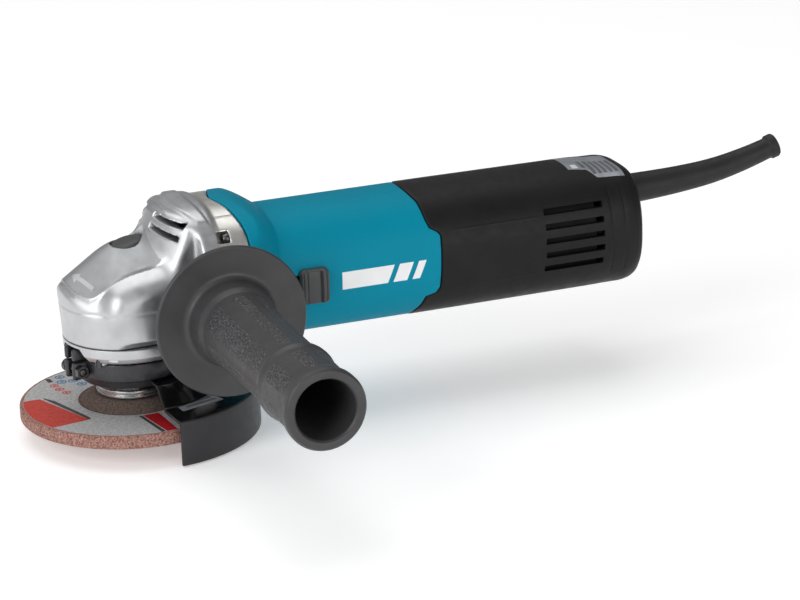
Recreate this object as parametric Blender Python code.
"""Angle grinder, 100 mm wheel class, as an assembly of separate parts.

Working frame used by the shape functions (millimetres): X = 0 on the spindle axis and growing
towards the rear of the tool, Y = 0 in the tool's middle plane with the side handle at -Y,
Z = 0 on the motor axis.  Everything is parented to an empty that lifts the motor axis by
MOTOR_AXIS_HEIGHT, so the world origin is the end face of the output spindle.
"""
import math

import bmesh
import bpy
from mathutils import Matrix, Vector

MM = 0.001
MOTOR_AXIS_HEIGHT = 60.0        # motor axis above the spindle's end face

# head
NOSE_R = 30.0
HEAD_BOTTOM = -21.3
FLANGE_HALF = 37.0              # half width of the square-ish joint flange
FLANGE_ZC = 3.0
# motor body
BODY_RY, BODY_RZ = 30.3, 30.7
BODY_SPLIT = 121.5              # where the motor housing meets the rear cover
TAB_END = 136.0                 # end of the side tabs of the motor housing
REAR_END = 238.5
BB_PCD = 27.4                   # pitch radius of the bearing box screws
# wheel and guard
WHEEL_R, WHEEL_T, WHEEL_TOP = 50.0, 6.0, -49.9
BORE_R = 8.0
GUARD_R, GUARD_TOP, GUARD_BOTTOM, GUARD_T = 55.6, -44.3, -64.4, 1.5
GUARD_HALF_ANGLE = 85.0
# side handle
HANDLE_X, HANDLE_Z = 31.2, -4.2
HANDLE_FLANGE_Y, HANDLE_FLANGE_R = -52.3, 33.6
HANDLE_END_Y, HANDLE_END_R, HANDLE_BORE_R = -170.7, 17.2, 12.7
# gears
GEAR_TEETH, PINION_TEETH = 24, 8
CONE_OUT, CONE_IN = 22.1, 16.3  # cone distances of the tooth ends
# shaft lock
LOCK_R = 8.0                    # radius of the lock holes and the pin
LOCK_TRAVEL = 4.0
GAP = 0.3

for old in list(bpy.data.objects):
    bpy.data.objects.remove(old, do_unlink=True)

scene = bpy.context.scene
tool = bpy.data.objects.new("tool_frame", None)
tool.location = (0, 0, MOTOR_AXIS_HEIGHT * MM)
scene.collection.objects.link(tool)

MATERIALS = {}


def material(name, colour, rough, metal):
    if name not in MATERIALS:
        m = bpy.data.materials.new(name)
        m.use_nodes = True
        b = m.node_tree.nodes["Principled BSDF"]
        b.inputs["Base Color"].default_value = (*colour, 1)
        b.inputs["Roughness"].default_value = rough
        b.inputs["Metallic"].default_value = metal
        MATERIALS[name] = m
    return MATERIALS[name]


FINISH = {
    "cast_aluminium": ((0.62, 0.62, 0.63), 0.35, 1.0),
    "teal_plastic": ((0.0, 0.22, 0.31), 0.4, 0.0),
    "black_plastic": ((0.018, 0.018, 0.02), 0.5, 0.0),
    "grey_plastic": ((0.05, 0.05, 0.055), 0.55, 0.0),
    "black_rubber": ((0.02, 0.02, 0.022), 0.65, 0.0),
    "steel": ((0.55, 0.55, 0.56), 0.3, 1.0),
    "dark_steel": ((0.09, 0.09, 0.1), 0.35, 1.0),
    "guard_paint": ((0.02, 0.02, 0.022), 0.3, 0.3),
    "abrasive": ((0.42, 0.2, 0.14), 0.9, 0.0),
    "copper": ((0.6, 0.25, 0.1), 0.35, 1.0),
    "carbon": ((0.03, 0.03, 0.03), 0.7, 0.0),
    "white_plastic": ((0.7, 0.7, 0.66), 0.45, 0.0),
}


def recenter(me, pivot):
    me.transform(Matrix.Translation(-Vector(pivot)))


def publish(name, bm, finish, pivot=(0, 0, 0)):
    """Turns a bmesh in millimetres into a finished object whose origin is pivot."""
    face_out(bm)
    me = bpy.data.meshes.new(name)
    bm.to_mesh(me)
    bm.free()
    recenter(me, pivot)
    me.transform(Matrix.Scale(MM, 4))
    me.update()
    ob = bpy.data.objects.new(name, me)
    ob.parent = tool
    ob.location = Vector(pivot) * MM
    scene.collection.objects.link(ob)
    me.shade_smooth()
    me.set_sharp_from_angle(angle=math.radians(32))
    me.materials.append(material(finish, *FINISH[finish]))
    return ob


def face_out(bm):
    bmesh.ops.recalc_face_normals(bm, faces=bm.faces[:])
    if bm.calc_volume(signed=True) < 0:
        bmesh.ops.reverse_faces(bm, faces=bm.faces[:])


def open_edges(bm):
    return sum(1 for e in bm.edges if len(e.link_faces) != 2)


def boolean(target, tools, op="DIFFERENCE"):
    """Applies Booleans with several tool bmeshes and returns the result as a bmesh.

    The exact solver does the work; where it leaves a surface open, the manifold solver repeats it."""
    made = []
    for src in [target, *tools]:
        face_out(src)
        me = bpy.data.meshes.new("tool")
        src.to_mesh(me)
        src.free()
        o = bpy.data.objects.new("tool", me)
        scene.collection.objects.link(o)
        made.append(o)
    ob = made[0]
    for i, c in enumerate(made[1:]):
        mod = ob.modifiers.new("b%d" % i, "BOOLEAN")
        mod.operation = op
        mod.solver = "EXACT"
        mod.object = c
    for solver in ("EXACT", "MANIFOLD"):
        for mod in ob.modifiers:
            mod.solver = solver
        dg = bpy.context.evaluated_depsgraph_get()
        dg.update()
        out = bpy.data.meshes.new_from_object(ob.evaluated_get(dg))
        bm = bmesh.new()
        bm.from_mesh(out)
        bpy.data.meshes.remove(out)
        if solver == "EXACT":
            bmesh.ops.remove_doubles(bm, verts=bm.verts[:], dist=2e-4)
            bmesh.ops.dissolve_degenerate(bm, edges=bm.edges[:], dist=1e-4)
        if not open_edges(bm):
            break
        if solver == "EXACT":
            bm.free()
    for o in made:
        me = o.data
        bpy.data.objects.remove(o, do_unlink=True)
        bpy.data.meshes.remove(me)
    return bm


def cut(target, *tools):
    return boolean(target, tools, "DIFFERENCE")


def join(target, *tools):
    return boolean(target, tools, "UNION")


def both(target, *tools):
    return boolean(target, tools, "INTERSECT")


AX = {
    "X": Matrix(((0, 0, 1), (1, 0, 0), (0, 1, 0))).to_4x4(),    # local z -> X, local x -> Y
    "Y": Matrix(((0, 1, 0), (0, 0, 1), (1, 0, 0))).to_4x4(),    # local z -> Y, local x -> Z
    "Z": Matrix.Identity(4),
}


def turned(profile, axis="Z", at=(0, 0, 0), steps=32, angle=360.0, start=0.0):
    """Spins a closed (radius, height) outline about an axis."""
    bm = bmesh.new()
    a0 = math.radians(start)
    vs = [bm.verts.new((r * math.cos(a0), r * math.sin(a0), h)) for r, h in profile]
    f = bm.faces.new(vs)
    full = abs(angle - 360.0) < 1e-6
    if full:
        edges = list(f.edges)
        bmesh.ops.delete(bm, geom=[f], context="FACES_ONLY")
        bmesh.ops.spin(bm, geom=vs + edges, cent=(0, 0, 0), axis=(0, 0, 1), dvec=(0, 0, 0),
                       angle=math.tau, steps=steps, use_merge=True, use_duplicate=False)
    else:
        ret = bmesh.ops.spin(bm, geom=vs + list(f.edges) + [f], cent=(0, 0, 0), axis=(0, 0, 1),
                             dvec=(0, 0, 0), angle=math.radians(angle), steps=steps,
                             use_merge=False, use_duplicate=False)
    bmesh.ops.remove_doubles(bm, verts=bm.verts[:], dist=1e-4)
    bmesh.ops.dissolve_degenerate(bm, edges=bm.edges[:], dist=1e-5)
    if full:
        loose = [e for e in bm.edges if not e.link_faces]
        bmesh.ops.delete(bm, geom=loose, context="EDGES")
    bmesh.ops.recalc_face_normals(bm, faces=bm.faces[:])
    bm.transform(Matrix.Translation(at) @ AX[axis])
    return bm


def prism(outline, axis, lo, hi, at=(0, 0, 0)):
    """Extrudes a closed 2D outline along an axis; outline axes are (Y,Z) for X, (Z,X) for Y, (X,Y) for Z."""
    bm = bmesh.new()
    f = bm.faces.new([bm.verts.new((a, b, lo)) for a, b in outline])
    r = bmesh.ops.extrude_face_region(bm, geom=[f])
    bmesh.ops.translate(bm, vec=(0, 0, hi - lo), verts=[v for v in r["geom"] if isinstance(v, bmesh.types.BMVert)])
    bmesh.ops.recalc_face_normals(bm, faces=bm.faces[:])
    bm.transform(Matrix.Translation(at) @ AX[axis])
    return bm


def ring_loft(sections):
    """Bridges closed rings of equal length into a capped solid."""
    bm = bmesh.new()
    rings = [[bm.verts.new(p) for p in s] for s in sections]
    n = len(rings[0])
    for a, b in zip(rings[:-1], rings[1:]):
        for i in range(n):
            bm.faces.new((a[i], a[(i + 1) % n], b[(i + 1) % n], b[i]))
    bm.faces.new(rings[0][::-1])
    bm.faces.new(rings[-1])
    bmesh.ops.recalc_face_normals(bm, faces=bm.faces[:])
    return bm


def box(x0, x1, y0, y1, z0, z1):
    bm = bmesh.new()
    m = Matrix.Translation(((x0 + x1) / 2, (y0 + y1) / 2, (z0 + z1) / 2)) @ Matrix.Diagonal((x1 - x0, y1 - y0, z1 - z0, 1))
    bmesh.ops.create_cube(bm, size=1, matrix=m)
    return bm


def cyl(r, lo, hi, axis="Z", at=(0, 0, 0), steps=20):
    return turned([(0, lo), (r, lo), (r, hi), (0, hi)], axis, at, steps)


def tube(r0, r1, lo, hi, axis="Z", at=(0, 0, 0), steps=24):
    return turned([(r0, lo), (r1, lo), (r1, hi), (r0, hi)], axis, at, steps)


def oval(ry, rz, n, steps=28, zc=0.0):
    """Superellipse outline in (Y, Z)."""
    out = []
    for i in range(steps):
        t = math.tau * i / steps
        c, s = math.cos(t), math.sin(t)
        out.append((ry * math.copysign(abs(c) ** (2 / n), c), zc + rz * math.copysign(abs(s) ** (2 / n), s)))
    return out


def oval_at(x, ry, rz, n, steps=28, zc=0.0):
    return [(x, y, z) for y, z in oval(ry, rz, n, steps, zc)]


def joint_x(y):
    """Rear edge of the head in plan: forward in the middle, sweeping back to the sides."""
    t = min(abs(y) / 36.0, 1.0)
    return 29.0 + 17.2 * math.sin(t * math.pi / 2) ** 1.15


def joint_outline(offset, far, side):
    ys = [-60, -36, -30, -24, -18, -12, -6, 0, 6, 12, 18, 24, 30, 36, 60]
    pts = [(joint_x(y) + offset, y) for y in ys]
    return pts + ([(far, 60), (far, -60)] if side > 0 else [(-far, 60), (-far, -60)])


# ------------------------------------------------------------------ gear housing (head)
SCREWS = [(-30, 25.5), (30, 25.5), (-30, -19.5), (30, -19.5)]       # (y, z) of the flange screws
nose = [(NOSE_R * math.cos(math.radians(a)), NOSE_R * math.sin(math.radians(a))) for a in range(84, 277, 8)]
plan = nose + [(12, -28.6), (19, -25.9), (34, -25.9), (34, 25.9), (19, 25.9), (12, 28.6)]
front_view = [(-30.4, -45), (30.4, -45), (30.4, 7), (26.2, 19), (25.8, 31), (22.5, 36.5), (15, 41.5), (-15, 41.5), (-22.5, 36.5), (-25.8, 31), (-26.2, 19), (-30.4, 7)]
side = [(-31, HEAD_BOTTOM), (-31, 4), (-7.5, 18.6), (-6, 19.3), (6.6, 22), (11, 25), (14.5, 34), (17.5, 38.6), (22, 40.3), (34, 40.3), (34, HEAD_BOTTOM)]
head = prism(plan, "Z", -22, 45)
head = both(head, prism([(z, x) for x, z in side], "Y", -40, 40), prism(front_view, "X", -40, 60))
ear = ring_loft([oval_at(24.0, FLANGE_HALF - 1.6, FLANGE_HALF - 1.6, 3.2, 28, FLANGE_ZC), oval_at(26.5, FLANGE_HALF, FLANGE_HALF, 3.2, 28, FLANGE_ZC),
                 oval_at(60.0, FLANGE_HALF, FLANGE_HALF, 3.2, 28, FLANGE_ZC)])
ear = cut(ear, box(20, 26.5, -45, 45, -50, HEAD_BOTTOM))
head = join(head, ear, cyl(10.5, -38.5, 38.5, "Y", (HANDLE_X, 0, HANDLE_Z), 24))
head = cut(head,
           prism(joint_outline(-0.15, 90, 1), "Z", -60, 60),
           cyl(25.3, -40, 1.8, "Z", steps=32),
           cyl(9.6, 4, 30, "X", steps=20),
           cyl(28.0, 26.7, 70, "X", steps=28),
           box(20, 60, -21, 21, 15, 35.5),
           cyl(5.3, 0, 10.5, "Z", steps=24),
           cyl(1.9, 0, 15, "Z", (-LOCK_R, 0, 0), 16),
           cyl(7.3, 11.8, 30, "Z", (-2.5, 0, 0), 24),
           box(5, 30, -23.4, -6, 29.6, 32.0), box(5, 30, -23.4, -6, 25.5, 27.7),
           box(5, 30, 6, 23.4, 29.6, 32.0), box(5, 30, 6, 23.4, 25.5, 27.7))
tools = []
for y, z in SCREWS:
    tools += [cyl(2.3, 15, 60, "X", (0, y, z), 12), cyl(3.9, 18, 33, "X", (0, y, z), 16)]
for s in (-1, 1):
    tools.append(cyl(4.6, 29.0, 45, "Y", (HANDLE_X, 0, HANDLE_Z), 16) if s > 0 else cyl(4.6, -45, -29.0, "Y", (HANDLE_X, 0, HANDLE_Z), 16))
for a in (45, 135, 225, 315):
    tools.append(cyl(1.5, -30, -11, "Z", (BB_PCD * math.cos(math.radians(a)), BB_PCD * math.sin(math.radians(a)), 0), 10))
head = cut(head, *tools)
publish("gear_housing", head, "cast_aluminium")

for i, (y, z) in enumerate(SCREWS):
    publish("gear_housing_screw_%d" % (i + 1),
            turned([(0, 30.2), (1.2, 30.2), (1.5, 29.2), (3.4, 29.2), (3.7, 29.8), (3.7, 32.7), (2.0, 32.7), (2.0, 51.5), (0, 53.0)], "X", (0, y, z), 16),
            "dark_steel", (31, y, z))

# ------------------------------------------------------------------ bearing box under the head
bb = turned([(9.6, -38.5), (19.9, -38.5), (20.4, -38.0), (20.4, -27.2), (28.6, -27.2), (29.3, -26.5), (29.3, -21.6), (13.1, -21.6),
             (13.1, -33.0), (9.6, -33.0)], "Z", steps=28)
tools = []
for a in (45, 135, 225, 315):
    q = (BB_PCD * math.cos(math.radians(a)), BB_PCD * math.sin(math.radians(a)), 0)
    tools += [cyl(1.5, -30, -10, "Z", q, 10)]
bb = cut(bb, *tools)
bb = cut(bb, box(26.2, 40, -40, 40, -27.4, -20))
publish("bearing_box", bb, "cast_aluminium")
for i, a in enumerate((45, 135, 225, 315)):
    q = (BB_PCD * math.cos(math.radians(a)), BB_PCD * math.sin(math.radians(a)), 0)
    publish("bearing_box_screw_%d" % (i + 1),
            turned([(0, -27.0), (1.2, -27.0), (1.2, -12.2), (0, -12.2)], "Z", q, 12), "dark_steel", q)

# ------------------------------------------------------------------ spindle group
spindle = turned([(0, -60), (4.4, -60), (5.0, -59.2), (5.0, -41.5), (9.0, -41.2), (9.0, -38.9), (6.0, -38.9), (6.0, -23.6), (4.5, -23.6),
                  (4.5, -3.0), (3.0, -2.4), (3.0, 9.3), (2.6, 9.7), (0, 9.7)], "Z", steps=20)
publish("spindle", spindle, "steel")
publish("spindle_bearing_upper", tube(3.3, 5.0, 2.4, 10.2, "Z"), "steel")
publish("spindle_bearing_lower", turned([(6.3, -32.7), (12.8, -32.7), (12.8, -24.9), (6.3, -24.9)], "Z", steps=24), "steel")
publish("bearing_retainer", turned([(8.6, -24.6), (12.8, -24.6), (12.8, -22.0), (8.6, -22.0)], "Z", steps=24), "dark_steel")


def bevel(teeth, half_angle, module, flip, phase, bore, back, hub_face):
    """Straight bevel gear about +Z with its apex at the origin, pitch cone opening downwards.

    back and hub_face are heights of the rear face and of the recessed inner face."""
    n_add, n_ded = 0.72 * module, 1.12 * module
    d_add, d_ded = math.atan(n_add / CONE_OUT), math.atan(n_ded / CONE_OUT)
    pitch = math.tau / teeth
    rings = []
    for dist in (CONE_OUT, CONE_IN):
        ring = []
        for k in range(teeth):
            c = phase + k * pitch
            for frac, up in ((-0.33, -1), (-0.13, 1), (0.13, 1), (0.33, -1)):
                d = half_angle + (d_add if up > 0 else -d_ded)
                a = c + frac * pitch
                ring.append(Vector((dist * math.sin(d) * math.cos(a), dist * math.sin(d) * math.sin(a), -dist * math.cos(d))))
        rings.append(ring)
    n = len(rings[0])
    bm = bmesh.new()

    def circle(r, z):
        return [bm.verts.new((r * math.cos(phase + (k - 0.5) * pitch), r * math.sin(phase + (k - 0.5) * pitch), z)) for k in range(teeth)]

    def fan_to(teeth_ring, plain):
        for k in range(teeth):
            t = [teeth_ring[(4 * k + j) % n] for j in range(5)]
            p, q = plain[k], plain[(k + 1) % teeth]
            bm.faces.new((p, t[0], t[1]))
            bm.faces.new((p, t[1], t[2]))
            bm.faces.new((p, t[2], q))
            bm.faces.new((q, t[2], t[3]))
            bm.faces.new((q, t[3], t[4]))

    out = [bm.verts.new(v) for v in rings[0]]
    inn = [bm.verts.new(v) for v in rings[1]]
    r_back = CONE_OUT * math.sin(half_angle - d_ded) - 0.3
    r_in = CONE_IN * math.sin(half_angle - d_ded) - 0.3
    for i in range(n):
        bm.faces.new((inn[i], inn[(i + 1) % n], out[(i + 1) % n], out[i]))
    plain = [circle(r_back, back), circle(bore, back), circle(bore, hub_face), circle(r_in, hub_face)]
    for a, b in zip(plain[:-1], plain[1:]):
        for i in range(teeth):
            bm.faces.new((a[i], a[(i + 1) % teeth], b[(i + 1) % teeth], b[i]))
    fan_to(out, plain[0])
    fan_to(inn, plain[-1])
    face_out(bm)
    return bm


MODULE = 2 * CONE_OUT * math.sin(math.atan2(PINION_TEETH, GEAR_TEETH)) / PINION_TEETH
PIN_HALF = math.atan2(PINION_TEETH, GEAR_TEETH)
GEAR_HALF = math.pi / 2 - PIN_HALF
gear = bevel(GEAR_TEETH, GEAR_HALF, MODULE, False, math.pi / GEAR_TEETH, 4.8, -13.2, -8.4)
gear = cut(gear, *[cyl(1.95, -20, 0, "Z", (LOCK_R * math.cos(a), LOCK_R * math.sin(a), 0), 10) for a in (0, math.pi / 2, math.pi, 3 * math.pi / 2)])
publish("bevel_gear", gear, "steel")
publish("gear_spacer", tube(4.8, 6.0, -23.3, -13.5, "Z", steps=24), "steel")
publish("gear_ring", tube(4.8, 5.9, -8.1, -6.9, "Z", steps=24), "dark_steel")

publish("inner_flange", turned([(5.3, -49.4), (7.4, -49.4), (7.75, -49.0), (7.75, -45.7), (15.6, -45.7), (16.0, -45.3), (16.0, -42.2),
                                (15.5, -41.8), (5.3, -41.8)], "Z", steps=28), "steel")
publish("grinding_wheel", turned([(BORE_R, -52.0), (BORE_R, -46.0), (17.2, -46.0), (23.4, WHEEL_TOP), (WHEEL_R, WHEEL_TOP),
                                  (WHEEL_R, WHEEL_TOP - WHEEL_T), (23.9, WHEEL_TOP - WHEEL_T), (17.7, -52.0)], "Z", steps=40), "abrasive")
nut = turned([(5.3, -57.8), (13.2, -57.8), (14.0, -57.0), (14.0, -52.3), (5.3, -52.3)], "Z", steps=24)
nut = cut(nut, *[cyl(1.9, -60, -55.3, "Z", (10.0 * math.cos(a), 10.0 * math.sin(a), 0), 10) for a in (0, math.pi / 2, math.pi, 3 * math.pi / 2)])
publish("lock_nut", nut, "dark_steel")

# ------------------------------------------------------------------ guard, clamp band and its screw
sheet = [(21.6, -36.8), (29.6, -36.8), (37.8, GUARD_TOP), (54.8, GUARD_TOP), (GUARD_R, GUARD_TOP - 0.8), (GUARD_R, GUARD_BOTTOM),
         (GUARD_R - GUARD_T, GUARD_BOTTOM), (GUARD_R - GUARD_T, GUARD_TOP - GUARD_T), (37.2, GUARD_TOP - GUARD_T), (29.0, -36.8 - GUARD_T), (21.6, -36.8 - GUARD_T)]
guard = turned(sheet, "Z", steps=22, angle=2 * GUARD_HALF_ANGLE, start=-GUARD_HALF_ANGLE)
guard = join(guard, tube(20.75, 22.3, -38.3, -28.2, "Z", steps=28))
publish("wheel_guard", guard, "guard_paint")
LUG_A = 193.0                  # direction of the band's lugs
band = turned([(22.6, -36.5), (25.0, -36.5), (25.0, -28.4), (22.6, -28.4)], "Z", steps=34, angle=344, start=LUG_A + 8)
c, s = math.cos(math.radians(LUG_A)), math.sin(math.radians(LUG_A))


def lug(side):
    bm = box(23.2, 30.6, side * 3.2 - 1.3, side * 3.2 + 1.3, -36.0, -28.6)
    bm.transform(Matrix.Rotation(math.radians(LUG_A), 4, "Z"))
    return bm


def along_lug(r, lo, hi, steps=16, outline=None):
    bm = turned(outline or [(0, lo), (r, lo), (r, hi), (0, hi)], "Y", (27.6, 0, -32.3), steps)
    bm.transform(Matrix.Rotation(math.radians(LUG_A), 4, "Z"))
    return bm


band = join(band, lug(1), lug(-1))
band = cut(band, along_lug(1.8, -8, 8))
lug_pivot = (27.6 * c, 27.6 * s, -32.3)
publish("guard_clamp_band", band, "dark_steel")
publish("guard_clamp_screw", along_lug(0, 0, 0, 14, [(0, -8.0), (2.6, -8.0), (2.9, -7.6), (2.9, -4.8), (1.5, -4.8), (1.5, 7.8), (0, 7.8)]), "steel", lug_pivot)
nutb = along_lug(3.0, 4.8, 7.2, 6)
nutb = cut(nutb, along_lug(1.8, 0, 10, 12))
publish("guard_clamp_nut", nutb, "steel", lug_pivot)

# ------------------------------------------------------------------ shaft lock
btn = turned([(0, 15.9), (2.2, 15.9), (2.2, 16.4), (7.0, 16.4), (7.0, 21.0), (6.3, 21.9), (0, 22.6)], "Z", (-2.5, 0, 0), 24)
publish("shaft_lock_button", btn, "grey_plastic", (-2.5, 0, 18))
publish("shaft_lock_pin", turned([(0, -7.3), (1.1, -7.3), (1.5, -6.8), (1.5, 16.1), (0, 16.1)], "Z", (-LOCK_R, 0, 0), 14), "steel", (-LOCK_R, 0, 0))


def coil(cx, cy, lo, hi, radius, wire, turns, per_turn, sides, axis="Z"):
    """Helical spring with closed ends, swept as rings."""
    n = turns * per_turn
    secs = []
    for i in range(n + 1):
        a = math.tau * i / per_turn
        z = lo + wire + (hi - lo - 2 * wire) * i / n
        ring = []
        for k in range(sides):
            b = math.tau * k / sides
            rr = radius + wire * math.cos(b)
            ring.append((rr * math.cos(a), rr * math.sin(a), z + wire * math.sin(b)))
        secs.append(ring)
    bm = ring_loft(secs)
    bm.transform(Matrix.Translation((cx, cy, 0)))
    return bm


spring = coil(0, 0, 12.1, 15.9, 3.4, 0.35, 3, 10, 4)
spring.transform(Matrix.Translation((-0.9, 0, 0)))
publish("shaft_lock_spring", spring, "steel", (-0.9, 0, 11.8))

# ------------------------------------------------------------------ front bearing bracket and rotor
publish("bearing_bracket", turned([(6.8, 27.0), (27.4, 27.0), (27.4, 30.0), (15.5, 30.0), (15.5, 39.5), (13.3, 39.5), (13.3, 28.6), (6.8, 28.6)], "X", steps=28), "cast_aluminium")
publish("rotor_bearing_front", tube(5.3, 13.0, 28.9, 37.0, "X"), "steel")
publish("rotor_bearing_rear", tube(4.3, 9.4, 146.0, 153.0, "X"), "steel")
shaft = turned([(0, 14.2), (2.4, 14.2), (2.7, 14.6), (2.7, 26.6), (5.0, 27.0), (5.0, 60.0), (4.6, 60.3), (4.6, 142.0), (4.0, 142.4), (4.0, 156.0), (0, 156.0)], "X", steps=16)
publish("armature_shaft", shaft, "steel")
pin = bevel(PINION_TEETH, PIN_HALF, MODULE, True, math.pi, 3.0, -25.6, -CONE_IN * math.cos(PIN_HALF) - 0.6)
pin.transform(Matrix.Rotation(math.radians(-90), 4, "Y"))
publish("pinion", pin, "steel", (0, 0, 0))

fan = turned([(5.3, 43.2), (8.5, 43.2), (8.5, 50.6), (25.2, 50.6), (25.2, 52.0), (5.3, 52.0)], "X", steps=32)
for k in range(9):
    b = box(43.2, 51.2, 8.0, 24.9, -0.7, 0.7)
    b.transform(Matrix.Rotation(math.tau * k / 9, 4, "X") @ Matrix.Translation((0, 0, 3.5)) @ Matrix.Rotation(math.radians(-14), 4, "X"))
    fan = join(fan, b)
publish("cooling_fan", fan, "white_plastic")
publish("fan_baffle", turned([(17.0, 55.0), (27.2, 55.0), (27.2, 58.5), (24.5, 58.5), (18.5, 56.8), (17.0, 56.8)], "X", steps=24), "white_plastic")

core = []
for k in range(12):
    a = math.tau * k / 12
    for r, da in ((14.2, -11.5), (14.2, -4), (14.2, 4), (14.2, 11.5), (13.2, 12.2), (13.2, 17.8)):
        core.append((r * math.cos(a + math.radians(da)), r * math.sin(a + math.radians(da))))
core = cut(prism(core, "X", 72, 110), cyl(4.9, 60, 120, "X"))
publish("armature_core", core, "steel")
publish("armature_winding_front", turned([(4.9, 62.0), (9.5, 62.0), (12.8, 64.5), (13.3, 68.5), (12.8, 71.7), (4.9, 71.7)], "X", steps=20), "copper")
publish("armature_winding_rear", turned([(4.9, 110.3), (12.8, 110.3), (13.2, 113.5), (11.5, 117.5), (8.5, 119.5), (4.9, 119.5)], "X", steps=20), "copper")
com = []
for k in range(20):
    a = math.tau * k / 20
    for r, da in ((10.2, -7.6), (10.2, 7.6), (9.5, 8.2), (9.5, 9.8)):
        com.append((r * math.cos(a + math.radians(da)), r * math.sin(a + math.radians(da))))
publish("commutator", cut(prism(com, "X", 124, 140), cyl(4.9, 100, 160, "X")), "copper")

# ------------------------------------------------------------------ stator
rect = [(y, z) for y, z in oval(22.0, 27.0, 5, 32)]
field = both(prism(rect, "X", 70, 112), cyl(27.5, 60, 120, "X", steps=28))
field = cut(field, cyl(15.0, 60, 120, "X", steps=32), box(60, 120, 11.8, 16.8, -20.3, 20.3), box(60, 120, -16.8, -11.8, -20.3, 20.3))
publish("field_core", field, "dark_steel")
for nm, z0, z1 in (("field_coil_top", 16.0, 19.9), ("field_coil_bottom", -19.9, -16.0)):
    coilb = cut(box(64.5, 117.5, -16.0, 16.0, z0, z1), box(69.5, 112.5, -12.2, 12.2, z0 - 1, z1 + 1))
    publish(nm, coilb, "copper")

# ------------------------------------------------------------------ motor housing
def body_shape(x0, x1, ry, rz, n=2.3, steps=28):
    return ring_loft([oval_at(x0, ry, rz, n, steps), oval_at(x1, ry, rz, n, steps)])


flange = ring_loft([oval_at(20, FLANGE_HALF, FLANGE_HALF, 3.2, 28, FLANGE_ZC), oval_at(44, FLANGE_HALF, FLANGE_HALF, 3.2, 28, FLANGE_ZC),
                    oval_at(52, FLANGE_HALF - 1.4, FLANGE_HALF - 4.0, 3.2, 28, FLANGE_ZC), oval_at(62, BODY_RY - 0.6, BODY_RZ - 0.6, 2.3, 28)])
motor = body_shape(50, TAB_END, BODY_RY, BODY_RZ)
tabs = [(121.5, 40), (BODY_SPLIT, 25), (126.0, 19.0), (128.5, 15.2), (134.6, 14.4), (TAB_END, 12.8), (TAB_END, -10.0), (134.6, -11.6), (128.5, -13.8),
        (126.0, -18.6), (BODY_SPLIT, -25), (121.5, -40), (20, -40), (20, 40)]
motor = both(motor, prism([(z, x) for x, z in tabs], "Y", -60, 60))
motor = join(motor, flange)
motor = cut(motor, prism(joint_outline(0.15, 90, -1), "Z", -60, 60))
motor = cut(motor, body_shape(10, 160, 28.0, 28.2))
motor = cut(motor, box(20, 50, -21, 21, 15, 35.0))
spigot = ring_loft([oval_at(113.3, 28.8, 29.0, 2.3), oval_at(121.1, 28.8, 29.0, 2.3), oval_at(122.4, 27.4, 27.4, 2.0), oval_at(156, 27.4, 27.4, 2.0)])
spigot = cut(spigot, cyl(26.1, 100, 170, "X", steps=28))
spider = cyl(12.6, 144.5, 155.5, "X", steps=32)
arms = []
for k in (45, 135, 225, 315):
    b = box(147.0, 152.5, 8.0, 26.8, -1.6, 1.6)
    b.transform(Matrix.Rotation(math.radians(k), 4, "X"))
    arms.append(b)
spider = join(spider, *arms)
spider = cut(spider, cyl(9.7, 140, 160, "X", steps=32))
motor = join(motor, join(spigot, spider))
tools = [box(66.6, 81.5, -40, -20, -4.0, 4.0), cyl(2.2, -40, -20, "Z", (150, 0, 0), 16)]
for y, z in SCREWS:
    tools.append(cyl(2.2, 20, 53.6, "X", (0, y, z), 16))
motor = cut(motor, *tools)
publish("motor_housing", motor, "teal_plastic")

# ------------------------------------------------------------------ brush gear
for nm, sgn in (("upper", 1), ("lower", -1)):
    holder = cut(box(127.5, 138.5, -4.6, 4.6, 12.0 if sgn > 0 else -25.2, 25.2 if sgn > 0 else -12.0),
                 box(129.3, 136.7, -3.2, 3.2, -60, 60))
    publish("brush_holder_" + nm, holder, "copper")
    z0, z1 = (10.6, 19.5) if sgn > 0 else (-19.5, -10.6)
    publish("carbon_brush_" + nm, box(129.7, 136.3, -2.8, 2.8, z0, z1), "carbon")
    z0, z1 = (19.8, 25.1) if sgn > 0 else (-25.1, -19.8)
    publish("brush_spring_" + nm, coil(133.0, 0, z0, z1, 2.1, 0.35, 3, 7, 3), "steel", (133.0, 0, z0))

# ------------------------------------------------------------------ rear cover
END = [(121.9, 1.0), (222.0, 1.0), (229.0, 0.965), (234.0, 0.905), (237.4, 0.82), (REAR_END, 0.72)]
outer = ring_loft([oval_at(x, BODY_RY * k, BODY_RZ * k, 2.3 + (x > 225) * 0.25) for x, k in END])
slope = prism([(z, x) for x, z in [(205, 31.5), (216, 30.9), (226, 28.0), (241, 19.0), (260, 19.0), (260, 60), (205, 60)]], "Y", -60, 60)
outer = cut(outer, slope)
tabs_cut = [(BODY_SPLIT + 0.35, 40), (BODY_SPLIT + 0.35, 25), (126.35, 19.2), (128.7, 15.55), (134.8, 14.75), (TAB_END + 0.35, 13.0), (TAB_END + 0.35, -10.2),
            (134.8, -11.95), (128.7, -14.15), (126.35, -18.8), (BODY_SPLIT + 0.35, -25), (BODY_SPLIT + 0.35, -40), (20, -40), (20, 40)]
outer = cut(outer, prism([(z, x) for x, z in tabs_cut], "Y", -60, 60))
inner = ring_loft([oval_at(x, ry, rz, 2.3) for x, ry, rz in [(100, 28.0, 28.2), (212, 28.0, 28.2), (221, 27.0, 26.5), (230, 24.0, 23.0), (233.2, 23.0, 21.9), (235.0, 20.5, 15.5)]])
outer = cut(outer, inner, cyl(7.4, 228, 250, "X", (0, 0, 11.8), 32))
outer = join(outer, box(213.0, 220.0, -27.0, 27.0, 1.0, 6.5))
tools = []
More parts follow.
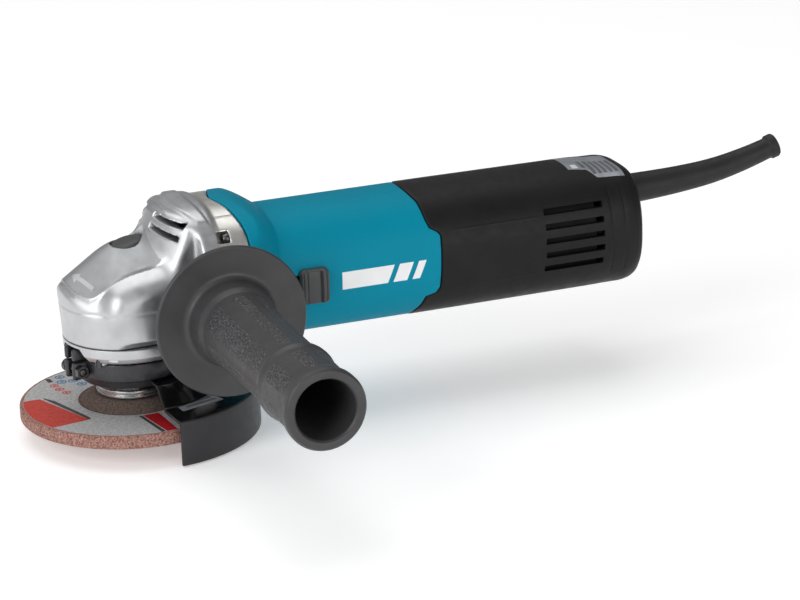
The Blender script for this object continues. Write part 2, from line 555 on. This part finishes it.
for k in range(5):
    z = 15.1 - 6.45 * k
    tools += [box(186.5, 215.2, -45, -20, z - 1.4, z + 1.4), box(186.5, 215.2, 20, 45, z - 1.4, z + 1.4)]
tools += [cyl(2.3, -45, -20, "Z", (150, 0, 0), 16), cyl(4.0, -45, -29.3, "Z", (150, 0, 0), 20)]
for y in (-7.5, 7.5):
    tools.append(cyl(1.7, 0, 12, "Z", (216.5, y, 0), 12))
outer = cut(outer, *tools)
publish("rear_cover", outer, "black_plastic")
publish("rear_cover_screw", turned([(0, -30.3), (1.0, -30.3), (1.3, -30.6), (3.3, -30.6), (3.6, -30.2), (3.6, -29.6), (1.9, -29.6), (1.9, -23.5), (0, -22.6)][::-1], "Z", (150, 0, 0), 16), "dark_steel", (150, 0, -30))

# ------------------------------------------------------------------ switch
knob = box(69.5, 84.5, -33.9, -31.4, -10.6, 10.6)
for k in range(5):
    knob = join(knob, box(71.2 + 2.7 * k, 72.5 + 2.7 * k, -34.7, -33.0, -9.4, 9.4))
knob = join(knob, box(73.0, 81.0, -32.0, -25.0, -3.4, 3.4))
publish("switch_knob", knob, "grey_plastic", (77, -33, 0))
rod = join(box(72.5, 167.4, -24.6, -23.2, -3.0, 3.0), box(165.4, 167.4, -24.0, -13.5, -3.0, 3.0))
publish("switch_rod", rod, "white_plastic", (77, -24, 0))
publish("switch_plunger", box(167.7, 182.0, -17.6, -13.4, -2.6, 2.6), "white_plastic", (175, -15.5, 0))
swb = cut(box(173.7, 203.0, -21.0, -10.0, -10.0, 10.0), box(170.0, 185.0, -18.0, -13.0, -3.0, 3.0))
publish("switch_body", swb, "black_plastic")

# ------------------------------------------------------------------ cord guard and cord clamp
ROUTE = [(229.5, 11.8), (238.0, 11.8), (246.0, 12.0), (254.0, 12.3), (262.0, 12.7), (270.0, 13.3), (278.0, 14.1), (286.0, 15.3), (294.0, 17.0), (302.0, 19.0), (308.5, 20.9), (315.0, 22.9)]


def boot_ring(i, r, steps):
    a = ROUTE[max(i - 1, 0)]
    b = ROUTE[min(i + 1, len(ROUTE) - 1)]
    t = math.atan2(b[1] - a[1], b[0] - a[0])
    x, z = ROUTE[i]
    return [(x - r * math.sin(w) * math.sin(t), r * math.cos(w), z + r * math.sin(w) * math.cos(t)) for w in (math.tau * k / steps for k in range(steps))]


def boot_radius(i):
    x = ROUTE[i][0]
    return 6.9 - 2.0 * max(0.0, min(1.0, (x - 240.0) / 70.0))


boot = bmesh.new()
N = 12
radii = [boot_radius(i) for i in range(len(ROUTE))]
loops = [[boot.verts.new(p) for p in boot_ring(i, radii[i], N)] for i in range(len(ROUTE))]
loops.append([boot.verts.new(p) for p in boot_ring(len(ROUTE) - 1, 3.6, N)])
for i in range(len(ROUTE) - 2, -1, -1):
    loops.append([boot.verts.new(p) for p in boot_ring(i, 3.6, N)])
for a, b in zip(loops, loops[1:] + loops[:1]):
    for i in range(N):
        boot.faces.new((a[i], a[(i + 1) % N], b[(i + 1) % N], b[i]))
boot = join(boot, tube(6.0, 9.2, 229.5, 232.5, "X", (0, 0, 11.8), 18))
lip_t = math.atan2(ROUTE[-1][1] - ROUTE[-2][1], ROUTE[-1][0] - ROUTE[-2][0])
lip = tube(4.4, 5.6, -3.6, 0.0, "Z", steps=16)
lip.transform(Matrix.Translation((ROUTE[-1][0], 0, ROUTE[-1][1])) @ Matrix.Rotation(math.pi / 2 - lip_t, 4, "Y"))
boot = join(boot, lip)
publish("cord_guard", boot, "black_rubber", (229.5, 0, 11.8))
clamp = cut(box(213.2, 219.8, -10.5, 10.5, 15.8, 18.6), cyl(1.7, 0, 30, "Z", (216.5, -7.5, 0), 12), cyl(1.7, 0, 30, "Z", (216.5, 7.5, 0), 12))
publish("cord_clamp", clamp, "black_plastic")
for i, y in enumerate((-7.5, 7.5)):
    publish("cord_clamp_screw_%d" % (i + 1), turned([(0, 1.6), (1.4, 1.6), (1.4, 18.9), (2.8, 18.9), (2.8, 20.6), (0, 20.6)], "Z", (216.5, y, 0), 14), "dark_steel", (216.5, y, 18))

# ------------------------------------------------------------------ side handle and stud
y0 = HANDLE_FLANGE_Y
prof = [(4.3, -39.0), (9.6, -39.0), (10.5, -45.5), (14.0, -47.8), (30.5, -49.4), (HANDLE_FLANGE_R, -50.3), (HANDLE_FLANGE_R, -51.6), (HANDLE_FLANGE_R - 0.6, y0),
        (HANDLE_FLANGE_R - 2.4, y0), (28.5, -51.6), (22.0, -52.8), (18.6, -57.0), (17.0, -64.0), (15.8, -84.0), (15.6, -132.8),
        (17.1, -134.4), (17.2, -136.6), (16.3, -138.8), (15.9, -146.0), (15.8, -158.5), (16.3, -164.8), (17.2, -166.4),
        (HANDLE_END_R, -169.6), (HANDLE_END_R - 0.9, HANDLE_END_Y), (HANDLE_BORE_R + 0.6, HANDLE_END_Y), (HANDLE_BORE_R, -169.8), (HANDLE_BORE_R, -74.0), (0, -74.0), (0, -60.0), (4.3, -60.0)]
handle = turned([(r, h) for r, h in prof][::-1], "Y", (HANDLE_X, 0, HANDLE_Z), 28)
publish("side_handle", handle, "grey_plastic", (HANDLE_X, -39, HANDLE_Z))
publish("handle_stud", turned([(0, -29.4), (3.6, -29.4), (4.0, -30.0), (4.0, -59.4), (0, -59.4)][::-1], "Y", (HANDLE_X, 0, HANDLE_Z), 20), "steel", (HANDLE_X, -39, HANDLE_Z))
